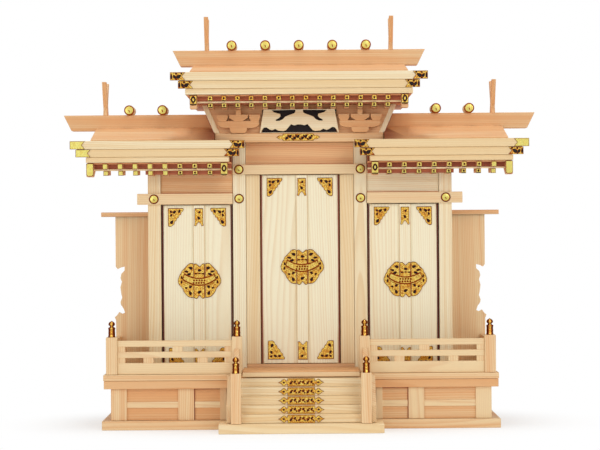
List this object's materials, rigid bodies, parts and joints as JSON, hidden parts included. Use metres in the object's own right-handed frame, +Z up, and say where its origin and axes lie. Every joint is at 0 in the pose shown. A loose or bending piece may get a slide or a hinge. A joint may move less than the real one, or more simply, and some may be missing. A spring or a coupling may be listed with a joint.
{
  "type": "household shrine (kamidana)",
  "caption": "Tabletop wooden household shrine with paired doors, a railed deck with steps, and gabled roofs on double rafters, the middle one raised.",
  "frame": {"origin": "centre of the plinth's underside", "axes": "+X to the viewer's right, +Y to the back, +Z up"},
  "size_m": [0.6024, 0.24, 0.5178],
  "materials": {
    "cypress": "planed, unfinished",
    "pale_cypress": "planed, unfinished",
    "warm_cypress": "planed, unfinished",
    "fittings": "gilt, pierced"
  },
  "bodies": {
    "root": {"back_wall": "cypress", "base_wall_front": "warm_cypress", "base_wall_rear": "warm_cypress", "beam_centre": "cypress", "beam_left": "cypress", "beam_right": "cypress", "bracket_left": "cypress", "bracket_right": "cypress", "centre_floor": "warm_cypress", "centre_post_left": "pale_cypress", "centre_post_right": "pale_cypress", "cloud_transom": "pale_cypress", "deck_boards": "pale_cypress", "deck_frame": "cypress", "eave_centre": "pale_cypress", "eave_left": "pale_cypress", "eave_right": "pale_cypress", "frieze": "warm_cypress", "hall_wall_left": "cypress", "hall_wall_right": "cypress", "jamb_left": "warm_cypress", "jamb_right": "warm_cypress", "landing": "pale_cypress", "lintel_panel_centre": "warm_cypress", "lintel_panel_left": "warm_cypress", "lintel_panel_right": "warm_cypress", "outer_post_left": "pale_cypress", "outer_post_right": "pale_cypress", "plinth": "cypress", "rafters_centre": "warm_cypress", "rafters_left": "warm_cypress", "rafters_right": "warm_cypress", "railing_left": "cypress", "railing_right": "cypress", "ridge_centre": "cypress", "ridge_left": "cypress", "ridge_right": "cypress", "roof_centre": "cypress", "roof_left": "cypress", "roof_right": "cypress", "side_screen_left": "cypress", "side_screen_right": "cypress", "side_wall_left": "cypress", "side_wall_right": "cypress", "stair_base": "cypress", "stair_flight": "pale_cypress", "stair_rail_left": "cypress", "stair_rail_right": "cypress", "stair_side_left": "cypress", "stair_side_right": "cypress", "top_plate": "cypress"},
    "centre_door_left": {"centre_door_left": "pale_cypress"},
    "centre_door_right": {"centre_door_right": "pale_cypress"},
    "left_door_left": {"left_door_left": "pale_cypress"},
    "left_door_right": {"left_door_right": "pale_cypress"},
    "right_door_left": {"right_door_left": "pale_cypress"},
    "right_door_right": {"right_door_right": "pale_cypress"}
  },
  "joints": [
    {"name": "centre_door_left_hinge", "type": "hinge", "parent": "root", "child": "centre_door_left", "pos_m": [-0.0466, -0.022, 0.0774], "axis": [0, 0, 1], "range_deg": [-90, 0]},
    {"name": "centre_door_right_hinge", "type": "hinge", "parent": "root", "child": "centre_door_right", "pos_m": [0.0466, -0.022, 0.0774], "axis": [0, 0, 1], "range_deg": [0, 90]},
    {"name": "left_door_left_hinge", "type": "hinge", "parent": "root", "child": "left_door_left", "pos_m": [-0.1718, -0.022, 0.0692], "axis": [0, 0, 1], "range_deg": [-90, 0]},
    {"name": "left_door_right_hinge", "type": "hinge", "parent": "root", "child": "left_door_right", "pos_m": [-0.0886, -0.022, 0.0692], "axis": [0, 0, 1], "range_deg": [0, 90]},
    {"name": "right_door_left_hinge", "type": "hinge", "parent": "root", "child": "right_door_left", "pos_m": [0.0886, -0.022, 0.0692], "axis": [0, 0, 1], "range_deg": [-90, 0]},
    {"name": "right_door_right_hinge", "type": "hinge", "parent": "root", "child": "right_door_right", "pos_m": [0.1718, -0.022, 0.0692], "axis": [0, 0, 1], "range_deg": [0, 90]}
  ],
  "couplings": [
    {"joint": "centre_door_left_hinge", "follows": "centre_door_right_hinge", "ratio": -1},
    {"joint": "left_door_left_hinge", "follows": "left_door_right_hinge", "ratio": -1},
    {"joint": "right_door_left_hinge", "follows": "right_door_right_hinge", "ratio": -1}
  ]
}
